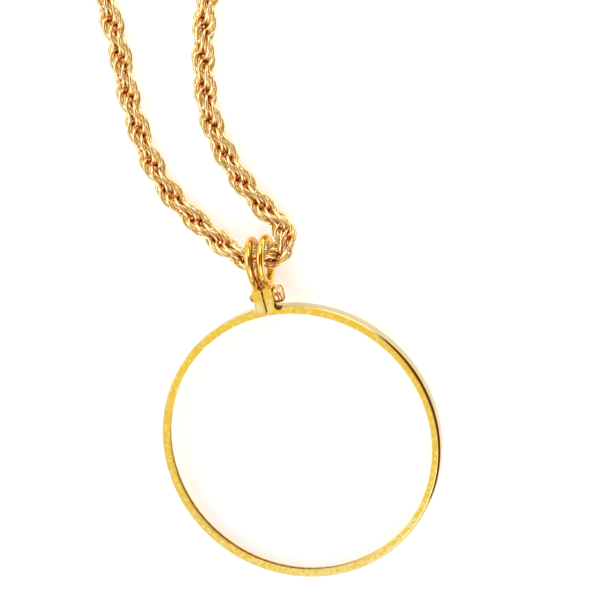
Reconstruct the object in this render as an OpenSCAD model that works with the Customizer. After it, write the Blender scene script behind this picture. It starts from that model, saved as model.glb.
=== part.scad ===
/* [Lens] */
// Diameter of the glass
lens_d = 43.9; // [36:0.1:56]
// Thickness of the glass at its edge
lens_edge = 1.1; // [0.9:0.05:1.6]
// Height of each curved face above the edge
lens_crown = 1.2; // [0.6:0.05:1.4]
// Play of the glass in its groove
lens_play = 0.1; // [0.05:0.01:0.2]

/* [Rim] */
// Thickness of each lip that holds the glass
rim_lip_t = 0.45; // [0.3:0.01:0.8]
// How far the lips reach in over the glass
rim_lip_reach = 0.5; // [0.3:0.05:1.2]
// Wall of the rim outside the glass
rim_wall = 0.7; // [0.5:0.05:1.5]
// Bevel on the rim's outer edges
rim_bevel = 0.15; // [0.05:0.01:0.3]
// Width of the split between the clamp lugs
split_w = 0.3; // [0.2:0.05:0.6]

/* [Clamp lugs] */
// Width of each lug
lug_w = 1.6; // [1.3:0.05:2.5]
// Height of the lugs above the rim
lug_h = 3.15; // [3:0.05:4.5]
// Rounding of the lugs' outer corners
lug_corner = 0.2; // [0.1:0.05:0.4]
// Fillet between lug and rim
lug_fillet = 0.3; // [0.1:0.05:0.35]

/* [Clamp screw] */
// Diameter of the shank
screw_d = 1.4; // [1:0.05:1.6]
// Diameter of the head
head_d = 2.8; // [2.2:0.05:3]
// Height of the head
head_h = 1.3; // [0.8:0.05:2]
// Bevel round the head
head_bevel = 0.3; // [0.05:0.05:0.35]
// Width of the slot
slot_w = 0.4; // [0.25:0.05:0.6]
// Depth of the slot
slot_depth = 0.5; // [0.3:0.05:0.7]
// How far the round tip stands out of the far lug
tip_out = 0.8; // [0.5:0.05:1.5]
// Gap between the screw and the lugs
screw_play = 0.05; // [0.03:0.01:0.08]

/* [Bail] */
// Diameter of the bail's wire
bail_wire = 1.3; // [0.9:0.05:1.4]
// Height of a loop, between the wire's centres
bail_h = 7.9; // [7.6:0.05:11]
// Radius of a loop's round top, to the wire's centre
bail_r = 3.35; // [3.25:0.05:3.6]
// Radius of a loop's narrow foot, to the wire's centre
bail_foot_r = 0.8; // [0.7:0.05:1]
// How far a foot's centre line is sunk below its lug's top
bail_seat = 0.1; // [0:0.05:0.3]

/* [Chain] */
// Width of the rope chain
chain_d = 4; // [2.5:0.1:4.2]
// Gap between the chain and the bail's wire below it
chain_play = 0.35; // [0.3:0.05:0.6]

/* [Clasp] */
// Wall of the barrel clasp round the chain's end
clasp_wall = 0.45; // [0.3:0.05:1]
// Depth of each end cup
clasp_cup = 2.5; // [1.5:0.1:4]
// Gap between the chain's end and its cup
clasp_play = 0.15; // [0.1:0.01:0.3]
// Bevel on the clasp's ends
clasp_bevel = 0.2; // [0.1:0.05:0.25]
// Width of the waist where the barrel's halves meet
waist_w = 1; // [0.5:0.1:2]
// Depth of the waist
waist_depth = 0.4; // [0.2:0.05:0.8]

/* [Hidden] */
$fn = 96;
// How far a cutting shape runs past what it cuts
CUT = 1;
GOLD = [0.93, 0.76, 0.32];
ROPE_GOLD = [0.9, 0.7, 0.36];
GLASS = [0.86, 0.93, 0.95, 0.4];

// Glass, and the groove that clears it
CROWN_STEPS = 16;
lens_r = lens_d / 2;
lens_ball_r = (lens_r ^ 2 + lens_crown ^ 2) / (2 * lens_crown);
function glass_half(r) =
    lens_edge / 2 + sqrt(lens_ball_r ^ 2 - r ^ 2) - sqrt(lens_ball_r ^ 2 - lens_r ^ 2);
opening_r = lens_r - rim_lip_reach;
groove_r = lens_r + lens_play;
groove_w = 2 * (glass_half(opening_r) + lens_play);

// Rim and lugs, measured from the centre of the lens
LUG_ROOT_SHARE = 0.15;
rim_r = groove_r + rim_wall;
rim_w = groove_w + 2 * rim_lip_t;
lug_root = groove_r + LUG_ROOT_SHARE * rim_wall;
lug_top = rim_r + lug_h;
lug_out = split_w / 2 + lug_w;

// Screw, a little over halfway up the lugs
SCREW_SHARE = 0.54;
screw_y = rim_r + SCREW_SHARE * lug_h;
screw_hole_r = screw_d / 2 + screw_play;

// Bail loops, each on its lug: side, lean to the right, twist about its own height
BAILS = [
    [-1, 6, -2],
    [1, 10, 3]
];
FOOT_SHARE = 0.45;
// A loop's straight legs run into its arcs by a little and are a hair thinner, so that no faces coincide
LEG_OVERLAP = 0.05;
LEG_INSET = 0.005;
foot_x = split_w / 2 + FOOT_SHARE * lug_w;
foot_y = lug_top - bail_seat;
bail_top_c = bail_h - bail_r;
bail_flare = asin((bail_r - bail_foot_r) / (bail_top_c - bail_foot_r));
bail_out_r = bail_r + bail_wire / 2;
eye_y = foot_y + bail_top_c;

// The pendant lies on the far edge of its rim and on its bail, which tips it
edge_y = rim_r - rim_bevel;
span = eye_y + edge_y;
tilt = asin(bail_out_r / norm([span, rim_w / 2])) - atan(rim_w / 2 / span);
lens_z = edge_y * sin(tilt) + rim_w / 2 * cos(tilt);
eye_row_y = eye_y * cos(tilt);
far_y = -(rim_r * cos(tilt) + (rim_w / 2 - rim_bevel) * sin(tilt));

// Route of the chain from the bail's eye, end to end: places across and along, then
// its height as a share, 0 on the surface and 1 inside the bail
ROUTE = [
    [-8, 321, 0], [-12, 321, 0], [-27, 318, 0], [-50, 306, 0], [-69, 284, 0],
    [-80, 256, 0], [-84, 225, 0], [-80, 192, 0], [-71, 159, 0], [-58, 126, 0],
    [-40, 95, 0], [-23.5, 69, 0], [-16, 52, 0], [-14.6, 40, 0], [-14.8, 29, 0],
    [-13.9, 19.5, 0], [-11.6, 12.4, 0], [-8, 6.9, 0.03], [-5, 3.3, 0.4], [-2.6, 1.15, 0.85],
    [-0.8, 0.3, 1], [0.9, 0, 1], [2.7, 0, 1], [4.5, 0.8, 0.95], [5.4, 2.5, 0.8],
    [5.1, 4.4, 0.5], [3.8, 6.2, 0.18], [2.15, 8.8, 0], [-0.6, 14.6, 0], [-2.5, 23.5, 0],
    [-1.1, 34, 0], [2.6, 44.5, 0], [10.5, 60, 0], [26, 88, 0], [43, 118, 0],
    [58, 151, 0], [68, 185, 0], [72, 219, 0], [69, 251, 0], [58, 282, 0],
    [41, 305, 0], [21, 318, 0], [6, 321, 0], [2, 321, 0]
];
RING_STEP = 13;
CHAIN_SIDES = 12;
chain_r = chain_d / 2;
clasp_r = chain_r + clasp_play + clasp_wall;
chain_rise = bail_wire + chain_play;
last = len(ROUTE) - 1;
// The two ends run level along the clasp's axis
function route_z(i) = i < 2 || i > last - 2 ? clasp_r : chain_r + ROUTE[i].z * chain_rise;
knots = [for (i = [0:last]) [ROUTE[i].x, eye_row_y + ROUTE[i].y, route_z(i)]];

// Curve that passes through b and c, with a and d as the knots on either side
function spline(a, b, c, d, t) =
    (2 * b + (c - a) * t + (2 * a - 5 * b + 4 * c - d) * t ^ 2 + (3 * b - a - 3 * c + d) * t ^ 3) / 2;
function knot(i) = i < 0 ? 2 * knots[0] - knots[1]
    : i > last ? 2 * knots[last] - knots[last - 1] : knots[i];
function above_surface(p) = [p.x, p.y, max(p.z, chain_r)];
path = [
    for (i = [0:last - 1])
        let (steps = ceil(norm(knots[i + 1] - knots[i]) / RING_STEP))
        for (k = [0:steps - 1])
            above_surface(spline(knot(i - 1), knot(i), knot(i + 1), knot(i + 2), k / steps)),
    knots[last]
];
rings = len(path);

// The middle of the whole object's footprint is its origin
clasp_y = knots[0].y;
clasp_mid_x = (knots[0].x + knots[last].x) / 2;
clasp_l = knots[last].x - knots[0].x + 2 * (clasp_cup - clasp_play);
middle_x = (max([for (p = path) p.x]) + min([for (p = path) p.x])) / 2;
middle_y = (clasp_y + clasp_r + far_y) / 2;

module on_surface() {
    translate([-middle_x, -middle_y, 0]) children();
}

module as_pendant() {
    on_surface() translate([0, 0, lens_z]) rotate([tilt, 0, 0]) children();
}

// Half of a shape's outline, given for its upper side, and its mirror image below
function both_sides(upper) =
    concat(upper, [for (i = [len(upper) - 1:-1:0]) [upper[i].x, -upper[i].y]]);

module rim_ring() {
    rotate_extrude(convexity = 4)
        polygon(both_sides([
            [groove_r, groove_w / 2],
            [opening_r, groove_w / 2],
            [opening_r, rim_w / 2],
            [rim_r - rim_bevel, rim_w / 2],
            [rim_r, rim_w / 2 - rim_bevel]
        ]));
}

module lug_outline() {
    root_y = sqrt(rim_r ^ 2 - (lug_out + lug_fillet) ^ 2);
    difference() {
        translate([-lug_out, lug_root]) square([2 * lug_out, lug_top - lug_root]);
        for (side = [-1, 1])
            translate([side * (lug_out - lug_corner), lug_top - lug_corner])
                difference() {
                    translate([side > 0 ? 0 : -lug_corner - CUT, 0])
                        square(lug_corner + CUT);
                    circle(r = lug_corner);
                }
    }
    for (side = [-1, 1])
        difference() {
            translate([side > 0 ? 0 : -lug_out - lug_fillet, lug_root])
                square([lug_out + lug_fillet, root_y + lug_fillet - lug_root]);
            translate([side * (lug_out + lug_fillet), root_y + lug_fillet])
                circle(r = lug_fillet);
        }
}

module bail_loop() {
    leg_l = sqrt((bail_top_c - bail_foot_r) ^ 2 - (bail_r - bail_foot_r) ^ 2);
    top_half = 90 + bail_flare;
    translate([bail_top_c, 0, 0]) rotate([0, 0, -top_half])
        rotate_extrude(angle = 2 * top_half) translate([bail_r, 0]) circle(d = bail_wire);
    translate([bail_foot_r, 0, 0]) rotate([0, 0, top_half])
        rotate_extrude(angle = 360 - 2 * top_half) translate([bail_foot_r, 0]) circle(d = bail_wire);
    for (side = [-1, 1])
        translate([bail_foot_r * (1 - sin(bail_flare)), side * bail_foot_r * cos(bail_flare), 0])
            rotate([0, 0, side * bail_flare]) rotate([0, 90, 0]) translate([0, 0, -LEG_OVERLAP])
                cylinder(d = bail_wire - 2 * LEG_INSET, h = leg_l + 2 * LEG_OVERLAP);
}

module bail() {
    for (b = BAILS)
        translate([b[0] * foot_x, foot_y, 0]) rotate([0, 0, -b[1]]) rotate([0, -b[2], 0])
            rotate([90, 0, 90]) bail_loop();
}

module rim() {
    color(GOLD) as_pendant() difference() {
        union() {
            rim_ring();
            translate([0, 0, -rim_w / 2]) linear_extrude(rim_w) lug_outline();
            bail();
        }
        translate([-split_w / 2, opening_r - CUT, -rim_w])
            cube([split_w, lug_top - opening_r + 2 * CUT, 2 * rim_w]);
        translate([0, screw_y, 0]) rotate([0, 90, 0])
            cylinder(r = screw_hole_r, h = 2 * (lug_out + CUT), center = true);
    }
}

module lens() {
    crown = [
        for (i = [0:CROWN_STEPS])
            let (r = lens_r * i / CROWN_STEPS) [r, glass_half(r)]
    ];
    color(GLASS) as_pendant() rotate_extrude() polygon(both_sides(crown));
}

module clamp_screw() {
    head_r = head_d / 2;
    shank_r = screw_d / 2;
    seat = lug_out + screw_play;
    color(GOLD) as_pendant() translate([0, screw_y, 0]) rotate([0, 90, 0]) difference() {
        union() {
            translate([0, 0, seat]) rotate_extrude() polygon([
                [0, 0], [head_r, 0], [head_r, head_h - head_bevel],
                [head_r - head_bevel, head_h], [0, head_h]
            ]);
            translate([0, 0, shank_r - lug_out - tip_out])
                cylinder(r = shank_r, h = 2 * lug_out + tip_out);
            translate([0, 0, shank_r - lug_out - tip_out]) sphere(r = shank_r);
        }
        translate([-slot_w / 2, -head_d, seat + head_h - slot_depth])
            cube([slot_w, 2 * head_d, slot_depth + CUT]);
    }
}

function ring_points(i) =
    let (
        ahead = path[min(i + 1, rings - 1)] - path[max(i - 1, 0)],
        forward = ahead / norm(ahead),
        across = cross([0, 0, 1], forward) / norm(cross([0, 0, 1], forward)),
        upward = cross(forward, across)
    )
    [for (j = [0:CHAIN_SIDES - 1])
        let (a = 360 * j / CHAIN_SIDES) path[i] + chain_r * (cos(a) * across + sin(a) * upward)];

module rope_chain() {
    points = [for (i = [0:rings - 1]) each ring_points(i)];
    start_cap = [for (j = [0:CHAIN_SIDES - 1]) j];
    end_cap = [for (j = [CHAIN_SIDES - 1:-1:0]) (rings - 1) * CHAIN_SIDES + j];
    sides = [
        for (i = [0:rings - 2], j = [0:CHAIN_SIDES - 1])
            let (here = i * CHAIN_SIDES, next = (j + 1) % CHAIN_SIDES)
            [here + j, here + CHAIN_SIDES + j, here + CHAIN_SIDES + next, here + next]
    ];
    color(ROPE_GOLD) on_surface() polyhedron(points, concat([start_cap, end_cap], sides));
}

module clasp() {
    cup_r = chain_r + clasp_play;
    half_l = clasp_l / 2;
    color(GOLD) on_surface() translate([clasp_mid_x, clasp_y, clasp_r]) rotate([0, 90, 0])
        rotate_extrude() polygon(both_sides([
            [0, half_l - clasp_cup],
            [cup_r, half_l - clasp_cup],
            [cup_r, half_l],
            [clasp_r - clasp_bevel, half_l],
            [clasp_r, half_l - clasp_bevel],
            [clasp_r, waist_w / 2],
            [clasp_r - waist_depth, waist_w / 2]
        ]));
}

rim();
lens();
clamp_screw();
rope_chain();
clasp();
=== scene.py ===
"""Looks of the magnifier pendant: a framed lens on a gold rope chain, lying on a pale surface."""

import math

import bpy
import numpy as np
from mathutils import Matrix, Vector


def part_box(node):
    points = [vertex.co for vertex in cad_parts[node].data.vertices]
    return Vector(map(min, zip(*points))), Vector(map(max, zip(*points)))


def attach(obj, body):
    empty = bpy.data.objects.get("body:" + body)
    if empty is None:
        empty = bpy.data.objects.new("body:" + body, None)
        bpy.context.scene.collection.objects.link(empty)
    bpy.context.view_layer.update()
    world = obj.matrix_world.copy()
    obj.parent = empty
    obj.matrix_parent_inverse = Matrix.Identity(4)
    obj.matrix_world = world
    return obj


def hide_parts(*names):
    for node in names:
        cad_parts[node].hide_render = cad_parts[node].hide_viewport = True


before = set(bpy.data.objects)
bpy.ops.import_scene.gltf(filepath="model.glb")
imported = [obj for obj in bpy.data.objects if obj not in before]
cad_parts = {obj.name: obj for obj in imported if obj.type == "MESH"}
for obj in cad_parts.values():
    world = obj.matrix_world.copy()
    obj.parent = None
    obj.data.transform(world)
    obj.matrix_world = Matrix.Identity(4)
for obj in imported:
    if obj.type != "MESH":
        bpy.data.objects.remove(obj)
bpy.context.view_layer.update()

MM = 0.001

# Lens and its frame, the same sizes as in part.scad
LENS_D = 43.9 * MM
LENS_EDGE = 1.1 * MM
LENS_CROWN = 1.2 * MM
LENS_PLAY = 0.1 * MM
LIP_T = 0.45 * MM
LIP_REACH = 0.5 * MM
RIM_WALL = 0.7 * MM
RIM_BEVEL = 0.15 * MM
SPLIT_W = 0.3 * MM
LUG_W = 1.6 * MM
LUG_H = 3.15 * MM
LUG_CORNER = 0.2 * MM
LUG_FILLET = 0.3 * MM
SCREW_D = 1.4 * MM
HEAD_D = 2.8 * MM
HEAD_H = 1.3 * MM
HEAD_ROUND = 0.5 * MM
SLOT_W = 0.4 * MM
SLOT_DEPTH = 0.5 * MM
TIP_OUT = 0.8 * MM
SCREW_PLAY = 0.05 * MM
SCREW_SHARE = 0.54
BAIL_WIRE = 1.3 * MM
BAIL_H = 7.9 * MM
BAIL_R = 3.35 * MM
BAIL_FOOT_R = 0.8 * MM
BAIL_SEAT = 0.1 * MM
FOOT_SHARE = 0.45
CHAIN_D = 4 * MM
CHAIN_PLAY = 0.35 * MM
CLASP_WALL = 0.45 * MM
CLASP_CUP = 2.5 * MM
CLASP_PLAY = 0.15 * MM
CLASP_BEVEL = 0.2 * MM
WAIST_W = 1.0 * MM
WAIST_DEPTH = 0.4 * MM

# What follows from them
LENS_R = LENS_D / 2
BALL_R = (LENS_R**2 + LENS_CROWN**2) / (2 * LENS_CROWN)
OPENING_R = LENS_R - LIP_REACH
GROOVE_R = LENS_R + LENS_PLAY
RIM_R = GROOVE_R + RIM_WALL


def glass_half(r):
    """Half the glass's thickness at radius r: half the edge plus the ball's cap above the edge."""
    return LENS_EDGE / 2 + np.sqrt(BALL_R**2 - r**2) - math.sqrt(BALL_R**2 - LENS_R**2)


GROOVE_W = 2 * (float(glass_half(OPENING_R)) + LENS_PLAY)
RIM_W = GROOVE_W + 2 * LIP_T
LUG_TOP = RIM_R + LUG_H
LUG_OUT = SPLIT_W / 2 + LUG_W
SCREW_Y = RIM_R + SCREW_SHARE * LUG_H
FOOT_X = SPLIT_W / 2 + FOOT_SHARE * LUG_W
FOOT_Y = LUG_TOP - BAIL_SEAT
TOP_C = BAIL_H - BAIL_R
EYE_Y = FOOT_Y + TOP_C
EDGE_Y = RIM_R - RIM_BEVEL
SPAN = EYE_Y + EDGE_Y
TILT = math.asin((BAIL_R + BAIL_WIRE / 2) / math.hypot(SPAN, RIM_W / 2)) - math.atan(RIM_W / 2 / SPAN)

# The lens's middle is the middle of its box, and the pendant is turned about it by its tilt
LENS_LOW, LENS_HIGH = (Vector(c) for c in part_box("lens"))
LENS_MID = (LENS_LOW + LENS_HIGH) / 2
PENDANT = Matrix.Translation(LENS_MID) @ Matrix.Rotation(TILT, 4, "X")

# How far the smooth surfaces stay inside the solids, whose curves are many flats
SKIN = 0.01 * MM
# How far from an arc's end the straight beside it has a point, so that its shading stays flat
GUARD = 0.02 * MM


def rotation(degrees, axis):
    """A turn about one axis as a 3 by 3 array."""
    return np.array(Matrix.Rotation(math.radians(degrees), 3, axis))


def directions(angle):
    """Unit vectors in the plane at these angles."""
    return np.stack([np.cos(angle), np.sin(angle)], -1)


def on_pendant(points):
    """Points given from the lens's middle, x across, y to the chain, z up, put where the pendant lies."""
    turn = np.array(PENDANT.to_3x3())
    return points @ turn.T + np.array(PENDANT.translation)


# Camera: straight lines to the photo's frame, which is VIEW_WIDTH wide at the lens
VIEW_DIRECTION = Vector((0.27195, 0.16732, 0.94765)).normalized()
VIEW_UP = Vector((0.17448, 0.95987, -0.21955)).normalized()
VIEW_DISTANCE = 600 * MM
VIEW_WIDTH = 95.85 * MM
LENS_LEFT_OF_CENTRE = -0.224 * MM
LENS_BELOW_CENTRE = 22.52 * MM


def make_camera():
    """The camera at the photo's angle. It aims at the place that the lens's place in the frame gives."""
    data = bpy.data.cameras.new("camera")
    data.sensor_width = 36
    data.lens = data.sensor_width * VIEW_DISTANCE / VIEW_WIDTH
    data.clip_start = 0.01
    data.clip_end = 100
    camera = bpy.data.objects.new("camera", data)
    right = VIEW_UP.cross(VIEW_DIRECTION)
    aim = LENS_MID + LENS_LEFT_OF_CENTRE * right + LENS_BELOW_CENTRE * VIEW_UP
    turn = Matrix((right, VIEW_UP, VIEW_DIRECTION)).transposed()
    camera.matrix_world = Matrix.Translation(aim + VIEW_DISTANCE * VIEW_DIRECTION) @ turn.to_4x4()
    bpy.context.scene.collection.objects.link(camera)
    bpy.context.scene.camera = camera


# Materials

def new_material(name):
    """A material with its nodes, its links and its main shader."""
    material = bpy.data.materials.new(name)
    material.use_nodes = True
    nodes = material.node_tree.nodes
    return material, nodes, material.node_tree.links, nodes["Principled BSDF"]


def ramp(nodes, stops):
    """A colour ramp with these (place, colour) stops."""
    made = nodes.new("ShaderNodeValToRGB")
    while len(made.color_ramp.elements) < len(stops):
        made.color_ramp.elements.new(1.0)
    for element, (place, colour) in zip(made.color_ramp.elements, stops):
        element.position = place
        element.color = (*colour, 1)
    return made


def noise(nodes, links, source, size, detail=3.0):
    """Cloudy noise whose spots are about this size."""
    made = nodes.new("ShaderNodeTexNoise")
    made.inputs["Scale"].default_value = 1 / size
    made.inputs["Detail"].default_value = detail
    links.new(source, made.inputs["Vector"])
    return made.outputs["Fac"]


def ranged(nodes, links, source, low, high, from_low=0.3, from_high=0.7):
    """source's span from_low..from_high stretched to low..high."""
    made = nodes.new("ShaderNodeMapRange")
    spans = {"From Min": from_low, "From Max": from_high, "To Min": low, "To Max": high}
    for key, value in spans.items():
        made.inputs[key].default_value = value
    links.new(source, made.inputs["Value"])
    return made.outputs["Result"]


def blend(nodes, links, factor, first, second):
    """A colour between first and second, each a colour or a socket. The colour sockets of a mix are 6 and 7,
    and its colour result is 2."""
    mix = nodes.new("ShaderNodeMix")
    mix.data_type = "RGBA"
    links.new(factor, mix.inputs["Factor"])
    for socket, value in ((mix.inputs[6], first), (mix.inputs[7], second)):
        if isinstance(value, tuple):
            socket.default_value = (*value, 1)
        else:
            links.new(value, socket)
    return mix.outputs[2]


def object_place(nodes):
    """The place on the piece, in the piece's own metres."""
    return nodes.new("ShaderNodeTexCoord").outputs["Object"]


def attribute_value(nodes, name):
    """The value that a piece's points carry under this name."""
    made = nodes.new("ShaderNodeAttribute")
    made.attribute_name = name
    return made.outputs["Fac"]


# The rim's face goes from yellow to pale with its patches, and its outer walls are a paler, greyer and darker
# gold, painted shade that tones down the bright floor they mirror
FACE_GOLD = [(0.42, (0.93, 0.61, 0.07)), (0.56, (0.94, 0.66, 0.1)), (0.68, (0.97, 0.79, 0.32))]
FACE_PATCH = 0.6 * MM
SHADED_WALL_GOLD = (0.6, 0.53, 0.27)
# Red-brown painted shade for the split, the sides of the bail loops that face each other, and the screw under
# its head and at its tip
PAINTED_SHADE_COLOUR = (0.5, 0.12, 0.03)
# Roughness and depth of grain, polished and satin
RIM_ROUGHNESS = (0.09, 0.3)
RIM_GRAIN = (0.02, 0.12)
GRAIN_SIZE = 0.25 * MM
GRAIN_DEPTH = 0.02 * MM
# How much the patches gain from the lens's middle to the rim's foot
PALE_FOOT = 0.13
# Spots painted on the rim's face at the lugs: place from the lens's middle and radius, in millimetres, the
# share of the radius that is full, and colour. The pale ones are painted highlights at the lugs' feet, and
# the dark one is a painted reflection of the screw's head
PAINTED_SPOTS = [
    ((-1.2, 23.0, 1.15), 1.2, 0.1, (0.97, 0.84, 0.4)),
    ((0.7, 22.65, 1.15), 0.8, 0.1, (0.97, 0.8, 0.34)),
    ((2.1, 22.75, 1.15), 0.8, 0.75, (0.16, 0.04, 0.015)),
]


def rim_material():
    """Yellow gold with paler cloudy patches, more of them towards the rim's foot. It is rough where the
    satin value marks the faces, the opening and its groove, and polished on the outer walls and bevels,
    which carry a darker, greyer gold as painted shade. Red-brown painted shade lies in the split. Soft round
    spots painted on the face at the lugs are pale highlights and a dark reflection of the screw's head."""
    material, nodes, links, shader = new_material("satin_gold")
    place = object_place(nodes)
    satin = attribute_value(nodes, "satin")
    patches = nodes.new("ShaderNodeMath")
    patches.operation = "ADD"
    links.new(noise(nodes, links, place, FACE_PATCH, detail=2.0), patches.inputs[0])
    parts = nodes.new("ShaderNodeSeparateXYZ")
    links.new(place, parts.inputs["Vector"])
    foot = ranged(nodes, links, parts.outputs["Y"], PALE_FOOT, 0, LENS_MID.y - RIM_R, LENS_MID.y)
    links.new(foot, patches.inputs[1])
    face = ramp(nodes, FACE_GOLD)
    links.new(patches.outputs["Value"], face.inputs["Fac"])
    # The walls take the darker, greyer gold of painted shade
    gold = blend(nodes, links, satin, SHADED_WALL_GOLD, face.outputs["Color"])
    # Painted spots: pale highlights at the lugs' feet and a dark reflection of the screw's head
    for middle, radius, full, colour in PAINTED_SPOTS:
        from_spot = nodes.new("ShaderNodeVectorMath")
        from_spot.operation = "DISTANCE"
        from_spot.inputs[1].default_value = on_pendant(np.array(middle) * MM)
        links.new(place, from_spot.inputs[0])
        spot = ranged(nodes, links, from_spot.outputs["Value"], 1, 0, full * radius * MM, radius * MM)
        gold = blend(nodes, links, spot, gold, colour)
    # Red-brown painted shade where the shade value marks the split
    shaded_gold = blend(nodes, links, attribute_value(nodes, "painted_shade"), gold, PAINTED_SHADE_COLOUR)
    links.new(shaded_gold, shader.inputs["Base Color"])
    shader.inputs["Metallic"].default_value = 1.0
    links.new(ranged(nodes, links, satin, *RIM_ROUGHNESS, 0, 1), shader.inputs["Roughness"])
    bumps = nodes.new("ShaderNodeBump")
    bumps.inputs["Distance"].default_value = GRAIN_DEPTH
    links.new(ranged(nodes, links, satin, *RIM_GRAIN, 0, 1), bumps.inputs["Strength"])
    links.new(noise(nodes, links, place, GRAIN_SIZE), bumps.inputs["Height"])
    links.new(bumps.outputs["Normal"], shader.inputs["Normal"])
    return material


# Polished golds: colour of the darker and the lighter clouds, and the span of their roughness
LOOP_GOLD = ((0.87, 0.57, 0.1), (0.93, 0.67, 0.18), (0.07, 0.15))
SCREW_GOLD = ((0.93, 0.64, 0.24), (0.97, 0.8, 0.42), (0.22, 0.3))
POLISH_CLOUD = 1.5 * MM


def polished_material(name, dark, light, roughness):
    """Bright gold with faint clouds in its polish, and red-brown painted shade where the shade value marks a
    crevice.
    """
    material, nodes, links, shader = new_material(name)
    clouds = noise(nodes, links, object_place(nodes), POLISH_CLOUD)
    colours = ramp(nodes, [(0.4, dark), (0.62, light)])
    links.new(clouds, colours.inputs["Fac"])
    # Red-brown painted shade where the shade value marks a crevice
    shaded_gold = blend(nodes, links, attribute_value(nodes, "painted_shade"), colours.outputs["Color"], PAINTED_SHADE_COLOUR)
    links.new(shaded_gold, shader.inputs["Base Color"])
    shader.inputs["Metallic"].default_value = 1.0
    links.new(ranged(nodes, links, clouds, *roughness), shader.inputs["Roughness"])
    return material


# The rope's colour by how deep a place lies in it, 0 on its outside: painted shade that darkens the gold to
# red-brown in the rope's recesses
ROPE_GOLD_AND_SHADE = [
    (0.0, (0.95, 0.83, 0.45)),
    (0.36, (0.94, 0.79, 0.37)),
    (0.56, (0.88, 0.53, 0.19)),
    (0.8, (0.76, 0.25, 0.1)),
]
ROPE_CLOUD = 0.6 * MM
ROPE_ROUGHNESS = (0.08, 0.18)


def rope_material():
    """Pale polished gold with painted shade that turns it to a deep red-brown inside the rope."""
    material, nodes, links, shader = new_material("rope_gold")
    colours = ramp(nodes, ROPE_GOLD_AND_SHADE)
    links.new(attribute_value(nodes, "depth"), colours.inputs["Fac"])
    links.new(colours.outputs["Color"], shader.inputs["Base Color"])
    shader.inputs["Metallic"].default_value = 1.0
    clouds = noise(nodes, links, object_place(nodes), ROPE_CLOUD)
    links.new(ranged(nodes, links, clouds, *ROPE_ROUGHNESS), shader.inputs["Roughness"])
    return material


GLASS_CLOUD = 6 * MM
GLASS_ROUGHNESS = (0.0, 0.01)


def glass_material():
    """Clear glass that lets the lamps' light straight through, so that the surface under it stays bright."""
    material, nodes, links, shader = new_material("lens_glass")
    shader.inputs["Base Color"].default_value = (1, 1, 1, 1)
    shader.inputs["Transmission Weight"].default_value = 1.0
    shader.inputs["IOR"].default_value = 1.5
    clouds = noise(nodes, links, object_place(nodes), GLASS_CLOUD)
    links.new(ranged(nodes, links, clouds, *GLASS_ROUGHNESS), shader.inputs["Roughness"])
    clear = nodes.new("ShaderNodeBsdfTransparent")
    mix = nodes.new("ShaderNodeMixShader")
    links.new(nodes.new("ShaderNodeLightPath").outputs["Is Shadow Ray"], mix.inputs["Fac"])
    links.new(shader.outputs["BSDF"], mix.inputs[1])
    links.new(clear.outputs["BSDF"], mix.inputs[2])
    links.new(mix.outputs["Shader"], nodes["Material Output"].inputs["Surface"])
    return material


FLOOR_WHITE = [(0.3, (0.93, 0.93, 0.93)), (0.7, (0.95, 0.95, 0.95))]
FLOOR_CLOUD = 400 * MM


def floor_material():
    """Matt near-white with wide faint clouds."""
    material, nodes, links, shader = new_material("pale_floor")
    colours = ramp(nodes, FLOOR_WHITE)
    links.new(noise(nodes, links, object_place(nodes), FLOOR_CLOUD), colours.inputs["Fac"])
    links.new(colours.outputs["Color"], shader.inputs["Base Color"])
    shader.inputs["Roughness"].default_value = 0.9
    shader.inputs["Specular IOR Level"].default_value = 0.1
    return material


# Meshes from arrays

def new_piece(name, vertices, faces, material, replaced, flat=None):
    """A mesh object from an array of points and a list of faces, riding on the body and standing for a CAD
    node. flat marks the faces that stay flat."""
    mesh = bpy.data.meshes.new(name)
    mesh.from_pydata(vertices.tolist(), [], faces)
    smooth = np.ones(len(faces), bool) if flat is None else ~np.asarray(flat)
    mesh.polygons.foreach_set("use_smooth", smooth)
    mesh.materials.append(material)
    mesh.update()
    piece = bpy.data.objects.new(name, mesh)
    bpy.context.scene.collection.objects.link(piece)
    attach(piece, "root")
    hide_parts(replaced)
    return piece


def add_value(piece, name, values):
    """One number for each of the piece's points, for its material."""
    attribute = piece.data.attributes.new(name, "FLOAT", "POINT")
    attribute.data.foreach_set("value", np.ravel(values).astype(np.float32))


def grid_faces(rows, columns, close_rows=True, close_columns=True):
    """Four-sided faces over a grid of points, row after row; either way round may close on itself."""
    i = np.arange(rows if close_rows else rows - 1)[:, None]
    j = np.arange(columns if close_columns else columns - 1)[None, :]
    i2 = (i + 1) % rows
    j2 = (j + 1) % columns
    corners = [i * columns + j, i2 * columns + j, i2 * columns + j2, i * columns + j2]
    return np.stack(np.broadcast_arrays(*corners), -1).reshape(-1, 4)


def joined(parts):
    """Several (points, faces, flat) shells as one."""
    points, faces, flat, start = [], [], [], 0
    for part_points, part_faces, part_flat in parts:
        points.append(part_points)
        faces += [[start + k for k in face] for face in part_faces]
        flat += list(part_flat)
        start += len(part_points)
    return np.vstack(points), faces, flat


def rounded_outline(corners, radii, steps=5):
    """An outline whose corners are arcs; a corner with no radius stays as it is. Each arc has a guard point
    on the straight on either side."""
    corners = np.asarray(corners, float)
    count = len(corners)
    outline = []
    for k, (corner, radius) in enumerate(zip(corners, radii)):
        if not radius:
            outline.append(corner)
            continue
        back = corners[k - 1] - corner
        ahead = corners[(k + 1) % count] - corner
        back, ahead = back / np.linalg.norm(back), ahead / np.linalg.norm(ahead)
        half = math.acos(np.clip(back @ ahead, -1, 1)) / 2
        reach = radius / math.tan(half)
        middle = corner + (back + ahead) / np.linalg.norm(back + ahead) * radius / math.sin(half)
        first, last = corner + back * reach - middle, corner + ahead * reach - middle
        sweep = math.pi - 2 * half
        t = np.linspace(0, 1, steps)[:, None]
        arc = middle + (np.sin((1 - t) * sweep) * first + np.sin(t * sweep) * last) / math.sin(sweep)
        outline += [corner + back * (reach + GUARD), *arc, corner + ahead * (reach + GUARD)]
    return np.array(outline)


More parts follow.
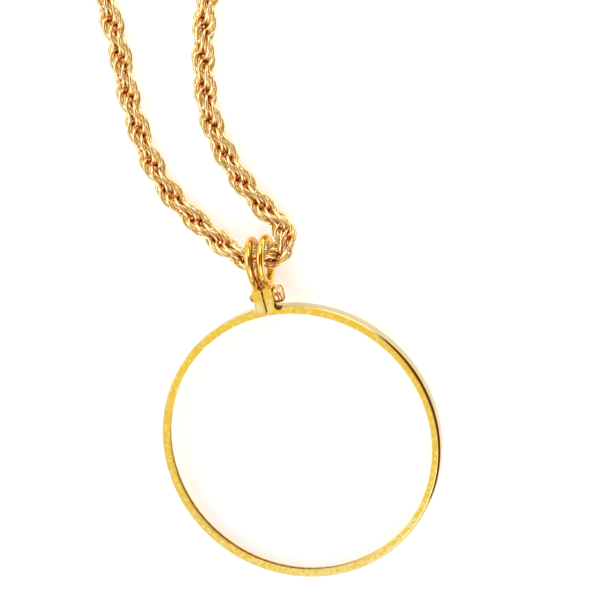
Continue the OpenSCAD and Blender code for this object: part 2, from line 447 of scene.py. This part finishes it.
def turned(outline, steps):
    """An outline of (radius, height) points that starts and ends on the z axis, turned about it from below
    to above. The two ends become single points with a fan of triangles round each."""
    ring = outline[1:-1]
    count = len(ring)
    angle = np.linspace(0, 2 * math.pi, steps, endpoint=False)[:, None]
    shape = [ring[:, 0] * np.cos(angle), ring[:, 0] * np.sin(angle), ring[:, 1] + 0 * angle]
    points = np.stack(shape, -1).reshape(-1, 3)
    poles = [(0, 0, outline[0, 1]), (0, 0, outline[-1, 1])]
    here = np.arange(steps)
    after = (here + 1) % steps
    low, high = np.full(steps, steps * count), np.full(steps, steps * count + 1)
    faces = grid_faces(steps, count, close_columns=False).tolist()
    faces += np.stack([low, after * count, here * count], -1).tolist()
    faces += np.stack([high, here * count + count - 1, after * count + count - 1], -1).tolist()
    return np.vstack([points, poles]), faces, [False] * len(faces)


# The frame of the lens. Its upper outer edge is worn wider than the bevel it was made with, and the wear
# grows over WORN_FROM, in millimetres past the lugs
SOFT_EDGE = 0.06 * MM
WORN_BEVEL = 0.36 * MM
WORN_EDGE = 0.3 * MM
WORN_FROM = (12.0, 25.0)
LUG_CORNER_STEPS = 7
LUG_FILLET_STEPS = 9
RIM_STEPS = 170
# Shares of the way from the split to the fillet's end, on the inner side, that answer the lug's top, corner,
# side and fillet
TOP_SHARE = 0.8
CORNER_SHARES = (0.76, 0.84)
SIDE_SHARES = (0.85, 0.9)
FILLET_SHARES = (0.91, 1.0)
# How satin the lugs' sides and the opening with its groove are, and how deep the face's satin goes into
# its edges
SIDE_SATIN = 0.7
OPENING_SATIN = 1.0
SATIN_EDGE = 0.1 * MM


def rim_stations():
    """Half of the rim's outline from the split outwards: over the top of the lug, round its corner, down
    its side, through the fillet and round the rim's circle. Gives the places, the outward directions, and
    for the inner side the share of the way from the split to the fillet's end and the angle on the circle."""
    fillet_x = LUG_OUT + LUG_FILLET
    fillet_y = math.sqrt((RIM_R + LUG_FILLET) ** 2 - fillet_x**2)
    touch = math.atan2(fillet_y, fillet_x)
    corner_x, corner_y = LUG_OUT - LUG_CORNER, LUG_TOP - LUG_CORNER
    top_x = np.array([SPLIT_W / 2, SPLIT_W / 2 + GUARD, LUG_OUT / 2, corner_x - GUARD])
    side_y = np.array([corner_y - GUARD, (LUG_TOP + fillet_y) / 2, fillet_y + GUARD])
    corner = np.linspace(math.pi / 2, 0, LUG_CORNER_STEPS)
    fillet = np.linspace(math.pi, math.pi + touch, LUG_FILLET_STEPS)
    circle = np.linspace(touch, -math.pi / 2, RIM_STEPS)[1:]
    places = np.vstack([
        np.stack([top_x, 0 * top_x + LUG_TOP], -1),
        (corner_x, corner_y) + LUG_CORNER * directions(corner),
        np.stack([0 * side_y + LUG_OUT, side_y], -1),
        (fillet_x, fillet_y) + LUG_FILLET * directions(fillet),
        RIM_R * directions(circle),
    ])
    outward = np.vstack([
        np.tile((0.0, 1.0), (len(top_x), 1)),
        directions(corner),
        np.tile((1.0, 0.0), (len(side_y), 1)),
        -directions(fillet),
        directions(circle),
    ])
    share = np.concatenate([
        TOP_SHARE * (top_x - top_x[0]) / (LUG_OUT - top_x[0]),
        np.linspace(*CORNER_SHARES, len(corner)),
        np.linspace(*SIDE_SHARES, len(side_y)),
        np.linspace(*FILLET_SHARES, len(fillet)),
        np.ones(len(circle)),
    ])
    angle = np.concatenate([np.full(len(share) - len(circle), touch), circle])
    return places, outward, share, angle


def rim_section(bevel, edge):
    """The rim's outline in its section, round the groove. bevel is the upper outer one, and edge is the soft
    edge where it meets the face."""
    top, groove = RIM_W / 2, GROOVE_W / 2
    to_face = (RIM_R - bevel, top)
    corners = [
        (GROOVE_R, -groove), (OPENING_R, -groove), (OPENING_R, -top), (RIM_R - RIM_BEVEL, -top),
        (RIM_R, RIM_BEVEL - top), (RIM_R, top - bevel), to_face, (OPENING_R, top),
        (OPENING_R, groove), (GROOVE_R, groove),
    ]
    return rounded_outline(corners, [edge if corner == to_face else SOFT_EDGE for corner in corners])


def rim_satin(points, share):
    """How satin each of the rim's points is: the faces and the opening with its groove fully, the lugs'
    sides partly, the outer walls and bevels not at all."""
    on_side = np.where(share < 1, SIDE_SATIN, 0)
    satin = np.concatenate([on_side, on_side[-2::-1]])[:, None]
    in_opening = np.hypot(points[..., 0], points[..., 1]) < GROOVE_R + SOFT_EDGE
    satin = np.where(in_opening, OPENING_SATIN, satin)
    on_face = np.interp(np.abs(points[..., 2]), (RIM_W / 2 - SATIN_EDGE, RIM_W / 2 - SKIN / 2), (0, 1))
    return np.maximum(satin, on_face)


def rim_surface(material):
    """The rim's grooved section carried round the lens from one side of the split to the other, lugs and
    all. The section's inner points keep their radius, and its outer points keep their distance in from the
    outline. Past the lugs the section goes over from the crisp one to the worn one with the distance along
    the circle."""
    places, outward, share, angle = rim_stations()
    past_lug = (angle.max() - angle) * RIM_R / MM
    worn = np.interp(past_lug, WORN_FROM, (0, 1))[:, None, None]
    section = (1 - worn) * rim_section(RIM_BEVEL, SOFT_EDGE) + worn * rim_section(WORN_BEVEL, WORN_EDGE)
    radius, height = section[..., 0], section[..., 1]
    inner_x = (1 - share)[:, None] * SPLIT_W / 2 + share[:, None] * radius * np.cos(angle)[:, None]
    inner_y = np.where(angle[:, None] > 0, 1, -1) * np.sqrt(radius**2 - inner_x**2)
    inner = np.stack([inner_x, inner_y], -1)
    outer = places[:, None] - (RIM_R - radius)[..., None] * outward[:, None]
    is_outer = radius > GROOVE_R + RIM_WALL / 5
    half = np.concatenate([np.where(is_outer[..., None], outer, inner), height[..., None]], -1)
    points = np.vstack([half * (-1, 1, 1), half[-2::-1]])
    rows, count = points.shape[:2]
    faces = grid_faces(rows, count, close_rows=False).tolist()
    flat = [False] * len(faces) + [True, True]
    faces.append(list(range(count)))
    faces.append([(rows - 1) * count + k for k in range(count)][::-1])
    vertices = on_pendant(points.reshape(-1, 3))
    piece = new_piece("rim_and_lugs", vertices, faces, material, "rim", flat)
    add_value(piece, "satin", rim_satin(points, share))
    # Painted red-brown shade on the two end caps in the split
    split_shade = np.zeros((rows, count))
    split_shade[[0, -1]] = 1
    add_value(piece, "painted_shade", split_shade)


# Bail loops: side, lean to the right, twist about the loop's own height
BAILS = [(-1, 6, -2), (1, 10, 3)]
LOOP_STEPS = 144
WIRE_SIDES = 24
# How much painted shade darkens the loops' facing sides at their feet and at their tops
LOOP_SHADE = (1, 0.6)


def bail_loop(side, lean, twist, material):
    """A round wire carried along a pear outline: a wide arc on top, a narrow arc at the foot and the
    straight tangents between them."""
    flare = math.asin((BAIL_R - BAIL_FOOT_R) / (TOP_C - BAIL_FOOT_R))
    leg = math.sqrt((TOP_C - BAIL_FOOT_R) ** 2 - (BAIL_R - BAIL_FOOT_R) ** 2)
    top_half = math.pi / 2 + flare
    foot_half = math.pi - top_half
    lengths = np.cumsum([0, top_half * BAIL_R, leg, 2 * foot_half * BAIL_FOOT_R, leg, top_half * BAIL_R])
    turns = np.cumsum([0, top_half, 0, 2 * foot_half, 0, top_half])
    s = np.linspace(0, lengths[-1], LOOP_STEPS, endpoint=False)
    heading = np.interp(s, lengths, turns)
    # A point of a straight is the end of its arc moved along the tangent
    top_arc = (s <= lengths[1]) | (s >= lengths[4])
    radius = np.where(top_arc, BAIL_R, BAIL_FOOT_R)
    middle = np.where(top_arc, TOP_C, BAIL_FOOT_R)
    along = np.where((s > lengths[1]) & (s < lengths[2]), s - lengths[2], 0.0)
    along = np.where((s > lengths[3]) & (s < lengths[4]), s - lengths[3], along)
    out = directions(heading)
    tangent = np.stack([-np.sin(heading), np.cos(heading)], -1)
    centre = np.stack([middle, 0 * middle], -1) + radius[:, None] * out + along[:, None] * tangent
    a = np.linspace(0, 2 * math.pi, WIRE_SIDES, endpoint=False)
    wire = BAIL_WIRE / 2 - SKIN
    flat = centre[:, None, :] + wire * np.cos(a)[None, :, None] * out[:, None, :]
    height = np.broadcast_to(wire * np.sin(a)[None, :, None], (*flat.shape[:2], 1))
    points = np.concatenate([flat, height], -1).reshape(-1, 3)
    upright = rotation(90, "Z") @ rotation(90, "X")
    turn = rotation(-lean, "Z") @ rotation(-twist, "Y") @ upright
    placed = points @ turn.T + np.array([side * FOOT_X, FOOT_Y, 0])
    faces = grid_faces(LOOP_STEPS, WIRE_SIDES).tolist()
    name = "bail_left" if side < 0 else "bail_right"
    piece = new_piece(name, on_pendant(placed), faces, material, "rim")
    # Painted shade on the loops' sides that face each other, strongest at their feet
    facing_other = np.clip(-side * np.sin(a)[None], 0, 1)
    by_height = np.interp(centre[:, 0], (0, BAIL_H), LOOP_SHADE)[:, None]
    add_value(piece, "painted_shade", facing_other * by_height)


# Steps of the screw: round its shank and its head, over its round tip, and over and round a jaw
SHANK_STEPS = 40
HEAD_STEPS = 80
TIP_STEPS = 12
JAW_ROUND_STEPS = 9
JAW_STEPS = 41
# How much painted shade darkens the screw's tip
TIP_SHADE = 0.7


def screw_jaw(side, end):
    """Half of the slotted part of the head: in each layer the segment of a circle that the slot leaves,
    where the circle shrinks over the rounding along its quarter turn. The slot is as deep as the rounding."""
    t = np.linspace(0, math.pi / 2, JAW_ROUND_STEPS)
    height = end - HEAD_ROUND + HEAD_ROUND * np.sin(t)
    radius = HEAD_D / 2 - SKIN - HEAD_ROUND * (1 - np.cos(t))
    reach = np.arccos(SLOT_W / 2 / radius)[:, None] * np.linspace(-1, 1, JAW_STEPS)
    level = height[:, None, None] + np.zeros((*reach.shape, 1))
    points = np.concatenate([side * radius[:, None, None] * directions(reach), level], -1)
    rows, count = points.shape[:2]
    faces = grid_faces(rows, count, close_rows=False)[:, ::-1]
    at_first = np.isin(faces, np.arange(rows) * count).any(1)
    at_last = np.isin(faces, np.arange(1, rows + 1) * count - 1).any(1)
    faces = faces.tolist() + [list(range(count))[::-1], [(rows - 1) * count + k for k in range(count)]]
    return points.reshape(-1, 3), faces, [*(at_first & at_last), True, True]


def clamp_screw(material):
    """A slotted screw along the pendant's x axis: a turned shank with a round tip, a turned head and, either
    side of the slot, half of the head's end."""
    head_r, shank_r = HEAD_D / 2 - SKIN, SCREW_D / 2 - SKIN
    seat = LUG_OUT + SCREW_PLAY
    tip = SCREW_D / 2 - LUG_OUT - TIP_OUT
    t = np.linspace(0, math.pi / 2, TIP_STEPS)
    dome = np.stack([shank_r * np.sin(t), tip - shank_r * np.cos(t)], -1)
    shank = np.vstack([dome, [(shank_r, seat), (0, seat)]])
    floor_h = seat + HEAD_H - SLOT_DEPTH
    corners = [(0, seat), (head_r, seat), (head_r, floor_h), (0, floor_h)]
    head = rounded_outline(corners, [0, 2 * SOFT_EDGE, 0, 0])
    head = np.insert(head, -1, [(head_r - SKIN, floor_h)], 0)
    jaws = [screw_jaw(side, seat + HEAD_H) for side in (1, -1)]
    points, faces, flat = joined([turned(shank, SHANK_STEPS), turned(head, HEAD_STEPS), *jaws])
    points = points @ rotation(90, "Y").T + np.array([0, SCREW_Y, 0])
    piece = new_piece("screw", on_pendant(points), faces, material, "clamp_screw", flat)
    # Painted shade: the head darkens towards its side nearest the rim, and the tip is darkened all over
    under_head = np.clip((SCREW_Y - points[:, 1]) / head_r, 0, 1)
    add_value(piece, "painted_shade", np.where(points[:, 0] < -LUG_OUT, TIP_SHADE, under_head))


CAP_STEPS = 40
LENS_STEPS = 160


def lens(material):
    """The glass: two spherical caps with a ground edge between them, turned about the lens's axis."""
    r = LENS_R * np.sin(np.linspace(0, math.pi / 2, CAP_STEPS))
    upper = np.stack([r, glass_half(r)], -1)[::-1]
    outline = np.vstack([upper[::-1] * (1, -1), upper])
    points, faces, flat = turned(outline, LENS_STEPS)
    new_piece("lens_glass", on_pendant(points), faces, material, "lens", flat)


CLASP_EDGE = 0.1 * MM
CLASP_STEPS = 64


def barrel_clasp(material):
    """The barrel clasp: a turned barrel with a waist and a cup in each end, along the row's x axis."""
    low, high = (np.array(c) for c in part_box("clasp"))
    middle, half = (low + high) / 2, (high[0] - low[0]) / 2
    cup_r = CHAIN_D / 2 + CLASP_PLAY
    barrel_r = cup_r + CLASP_WALL - SKIN
    upper = [
        (0, half - CLASP_CUP), (cup_r, half - CLASP_CUP), (cup_r, half), (barrel_r, half),
        (barrel_r, WAIST_W / 2), (barrel_r - WAIST_DEPTH, WAIST_W / 2),
    ]
    edges = [0, CLASP_EDGE, CLASP_EDGE, CLASP_BEVEL, CLASP_EDGE, CLASP_EDGE]
    corners = [(x, -y) for x, y in upper] + upper[::-1]
    outline = rounded_outline(corners, edges + edges[::-1])
    points, faces, flat = turned(outline, CLASP_STEPS)
    points = points @ rotation(90, "Y").T + middle
    new_piece("barrel_clasp", points, faces, material, "clasp", flat)


# Rope chain. Its route is part.scad's: places across and along from the bail's eye, in millimetres, then the
# height as a share, 0 on the surface and 1 inside the bail
ROUTE = [
    (-8, 321, 0), (-12, 321, 0), (-27, 318, 0), (-50, 306, 0), (-69, 284, 0),
    (-80, 256, 0), (-84, 225, 0), (-80, 192, 0), (-71, 159, 0), (-58, 126, 0),
    (-40, 95, 0), (-23.5, 69, 0), (-16, 52, 0), (-14.6, 40, 0), (-14.8, 29, 0),
    (-13.9, 19.5, 0), (-11.6, 12.4, 0), (-8, 6.9, 0.03), (-5, 3.3, 0.4), (-2.6, 1.15, 0.85),
    (-0.8, 0.3, 1), (0.9, 0, 1), (2.7, 0, 1), (4.5, 0.8, 0.95), (5.4, 2.5, 0.8),
    (5.1, 4.4, 0.5), (3.8, 6.2, 0.18), (2.15, 8.8, 0), (-0.6, 14.6, 0), (-2.5, 23.5, 0),
    (-1.1, 34, 0), (2.6, 44.5, 0), (10.5, 60, 0), (26, 88, 0), (43, 118, 0),
    (58, 151, 0), (68, 185, 0), (72, 219, 0), (69, 251, 0), (58, 282, 0),
    (41, 305, 0), (21, 318, 0), (6, 321, 0), (2, 321, 0),
]
CHAIN_R = CHAIN_D / 2
CHAIN_RISE = BAIL_WIRE + CHAIN_PLAY
CLASP_R = CHAIN_R + CLASP_PLAY + CLASP_WALL
ROUTE_STEPS = 60


def chain_path():
    """Points close together on the curve through the route's knots, and how far along the chain each lies.
    From knot b to knot c, with a before and d after, the curve is half the sum of 2b, (c - a) times t,
    (2a - 5b + 4c - d) times t squared and (3b - a - 3c + d) times t cubed."""
    route = np.array(ROUTE, float)
    eye = np.array([LENS_MID.x, LENS_MID.y + EYE_Y * math.cos(TILT)])
    height = CHAIN_R + route[:, 2] * CHAIN_RISE
    height[[0, 1, -2, -1]] = CLASP_R
    knots = np.column_stack([eye + route[:, :2] * MM, height])
    knots = np.vstack([2 * knots[0] - knots[1], knots, 2 * knots[-1] - knots[-2]])
    t = np.linspace(0, 1, ROUTE_STEPS, endpoint=False)[None, :, None]
    a, b, c, d = (knots[k:len(knots) - 3 + k, None, :] for k in range(4))
    squared = (2 * a - 5 * b + 4 * c - d) * t**2
    cubed = (3 * b - a - 3 * c + d) * t**3
    curve = (2 * b + (c - a) * t + squared + cubed) / 2
    curve = np.vstack([curve.reshape(-1, 3), knots[-2]])
    curve[:, 2] = np.maximum(curve[:, 2], CHAIN_R)
    spans = np.linalg.norm(np.diff(curve, axis=0), axis=1)
    return curve, np.concatenate([[0], np.cumsum(spans)])


# How the rope is laid: length of half a turn by the place along the chain, in millimetres, and the place
# where its turn is nought and a strand lies straight across from its axis
HALF_TURNS = [(0, 5.5), (320, 5.8), (368, 5.8), (376, 5.18), (425, 5.22), (470, 5.5), (762, 5.5)]
FIRST_LOBE = 340.55 * MM
RINGS_PER_TURN = 20
# Half the length of chain that a ring takes its direction from
RING_REACH = 1.0 * MM
RING_WIRE = 0.5 * MM
RING_R = 1.38 * MM
RING_OVAL = 1.45
RING_OUT = 0.36 * MM
RING_SLANT = 9
RING_SIDES = 14
RING_WIRE_SIDES = 6


def rope_rings():
    """Centres and frames of the rope's rings. The rope is laid left-handed from two strands, half a turn
    apart, and the rings belong to them in turn. Each ring stands off the rope's axis, turned by the twist at
    its place."""
    curve, along = chain_path()

    def on_chain(s):
        return np.column_stack([np.interp(s, along, curve[:, k]) for k in range(3)])

    places = np.array([p for p, _ in HALF_TURNS]) * MM
    halves = np.array([h for _, h in HALF_TURNS]) * MM
    half = np.interp(along, places, halves)
    steps = np.diff(along) * math.pi / ((half[1:] + half[:-1]) / 2)
    turn = np.concatenate([[0], np.cumsum(steps)])
    turn -= np.interp(FIRST_LOBE, along, turn)
    per_ring = 2 * math.pi / RINGS_PER_TURN
    count = int((turn[-1] - turn[0]) / per_ring)
    ring_turn = turn[0] + per_ring * (np.arange(count) + 0.5)
    s = np.interp(ring_turn, turn, along)
    ahead = on_chain(s + RING_REACH) - on_chain(s - RING_REACH)
    axis = ahead / np.linalg.norm(ahead, axis=1)[:, None]
    across = np.cross([0, 0, 1.0], axis)
    across /= np.linalg.norm(across, axis=1)[:, None]
    upward = np.cross(axis, across)
    angle = ring_turn + math.pi * (np.arange(count) % 2)
    out = np.cos(angle)[:, None] * across - np.sin(angle)[:, None] * upward
    return on_chain(s), axis, out, np.cross(axis, out)


def rope_links(material):
    """Every ring is an oval torus of a few dozen faces: its oval is spanned by the line outward from the
    rope and a line slanted from the rope's axis, and its wire by the oval's radial line and the line square
    to both."""
    centre, axis, out, side = rope_rings()
    slant = math.radians(RING_SLANT)
    line = math.cos(slant) * axis + math.sin(slant) * side
    normal = np.cross(out, line)
    middle = centre + RING_OUT * out
    a = np.linspace(0, 2 * math.pi, RING_SIDES, endpoint=False)[None, :, None]
    b = np.linspace(0, 2 * math.pi, RING_WIRE_SIDES, endpoint=False)[None, None, :, None]
    oval = RING_R * (np.cos(a) * out[:, None] + RING_OVAL * np.sin(a) * line[:, None])
    radial = RING_OVAL * np.cos(a) * out[:, None] + np.sin(a) * line[:, None]
    radial /= np.linalg.norm(radial, axis=-1)[..., None]
    wire = RING_WIRE / 2 * (np.cos(b) * radial[:, :, None] + np.sin(b) * normal[:, None, None])
    points = (middle[:, None] + oval)[:, :, None] + wire
    # How deep each point lies in the rope, for the material's painted shade
    from_axis = points - centre[:, None, None]
    from_axis -= (from_axis * axis[:, None, None]).sum(-1, keepdims=True) * axis[:, None, None]
    depth = 1 - np.clip(np.linalg.norm(from_axis, axis=-1) / CHAIN_R, 0, 1)
    ring_faces = grid_faces(RING_SIDES, RING_WIRE_SIDES)
    ring_points = RING_SIDES * RING_WIRE_SIDES
    middle_ring = len(centre) // 2
    halves = {"rope_links_left": slice(0, middle_ring), "rope_links_right": slice(middle_ring, None)}
    for name, rings in halves.items():
        part = points[rings]
        faces = (ring_faces[None] + ring_points * np.arange(len(part))[:, None, None]).reshape(-1, 4)
        piece = new_piece(name, part.reshape(-1, 3), faces.tolist(), material, "rope_chain")
        add_value(piece, "depth", depth[rings])


# Floor and light
FLOOR_HALF = 8.0


def make_floor(material):
    """A square that reaches far past the chain on every side."""
    mesh = bpy.data.meshes.new("floor")
    corners = [(-FLOOR_HALF, -FLOOR_HALF, 0), (FLOOR_HALF, -FLOOR_HALF, 0)]
    corners += [(FLOOR_HALF, FLOOR_HALF, 0), (-FLOOR_HALF, FLOOR_HALF, 0)]
    mesh.from_pydata(corners, [], [(0, 1, 2, 3)])
    mesh.materials.append(material)
    floor = bpy.data.objects.new("floor", mesh)
    bpy.context.scene.collection.objects.link(floor)


TENT = (0.95, 0.95, 0.94)
SEEN_TENT = (1.0, 1.0, 1.0)
# Dark warm screens at the foot of the tent: the way to the middle, how far round and how high it reaches,
# colour
SCREENS = [
    ((1.0, -0.04, 0), (0.28, 0.45), (0.72, 0.56), (0.22, 0.05, 0.012)),
    ((-0.98, -0.15, 0), (0.6, 0.75), (0.42, 0.3), (0.32, 0.15, 0.07)),
]
# Soft round places in the tent, three windows and the opening for the camera: direction, half width in
# degrees, soft edge in degrees, colour
WINDOW = (2.3, 2.3, 2.25)
ROUND_PLACES = [
    ((0.4, 0.72, 0.56), 18, 6, WINDOW),
    ((-0.75, 0.35, 0.56), 18, 6, WINDOW),
    ((0.3, -0.75, 0.6), 18, 6, WINDOW),
    (VIEW_DIRECTION, 22, 8, (0.4, 0.1, 0.04)),
]
# The fill lights the floor alone, without a shadow, so that the floor stays as white as the photo's
FILL_TURN = (0.3, 0.1, 0)
FILL = 1.6
FILL_SPREAD = 40


def studio():
    """A white light tent with dark screens at its foot, soft windows and an opening for the camera. Where
    the camera sees the tent itself it is plain and pale."""
    world = bpy.data.worlds.new("studio")
    world.use_nodes = True
    bpy.context.scene.world = world
    nodes, links = world.node_tree.nodes, world.node_tree.links
    background = nodes["Background"]
    ray = nodes.new("ShaderNodeTexCoord").outputs["Generated"]

    def towards(direction):
        dot = nodes.new("ShaderNodeVectorMath")
        dot.operation = "DOT_PRODUCT"
        dot.inputs[1].default_value = Vector(direction).normalized()
        links.new(ray, dot.inputs[0])
        return dot.outputs["Value"]

    light = TENT
    for way, around, height, colour in SCREENS:
        screen = nodes.new("ShaderNodeMath")
        screen.operation = "MULTIPLY"
        links.new(ranged(nodes, links, towards(way), 0, 1, *around), screen.inputs[0])
        links.new(ranged(nodes, links, towards((0, 0, 1)), 0, 1, *height), screen.inputs[1])
        light = blend(nodes, links, screen.outputs["Value"], light, colour)
    for direction, half_width, soft, colour in ROUND_PLACES:
        edge = math.cos(math.radians(half_width + soft))
        core = math.cos(math.radians(half_width))
        place = ranged(nodes, links, towards(direction), 0, 1, edge, core)
        light = blend(nodes, links, place, light, colour)
    camera_ray = nodes.new("ShaderNodeLightPath").outputs["Is Camera Ray"]
    light = blend(nodes, links, camera_ray, light, SEEN_TENT)
    links.new(light, background.inputs["Color"])


def fill_light():
    """A wide sun that no metal or glass mirrors."""
    data = bpy.data.lights.new("fill", "SUN")
    data.energy = FILL
    data.angle = math.radians(FILL_SPREAD)
    data.use_shadow = False
    fill = bpy.data.objects.new("fill", data)
    fill.rotation_euler = FILL_TURN
    fill.visible_glossy = False
    fill.visible_transmission = False
    bpy.context.scene.collection.objects.link(fill)


make_camera()
bpy.context.scene.view_settings.view_transform = "Standard"
studio()
fill_light()
make_floor(floor_material())

polished = polished_material("polished_gold", *LOOP_GOLD)
rim_surface(rim_material())
for bail_side, bail_lean, bail_twist in BAILS:
    bail_loop(bail_side, bail_lean, bail_twist, polished)
clamp_screw(polished_material("screw_gold", *SCREW_GOLD))
lens(glass_material())
barrel_clasp(polished)
rope_links(rope_material())
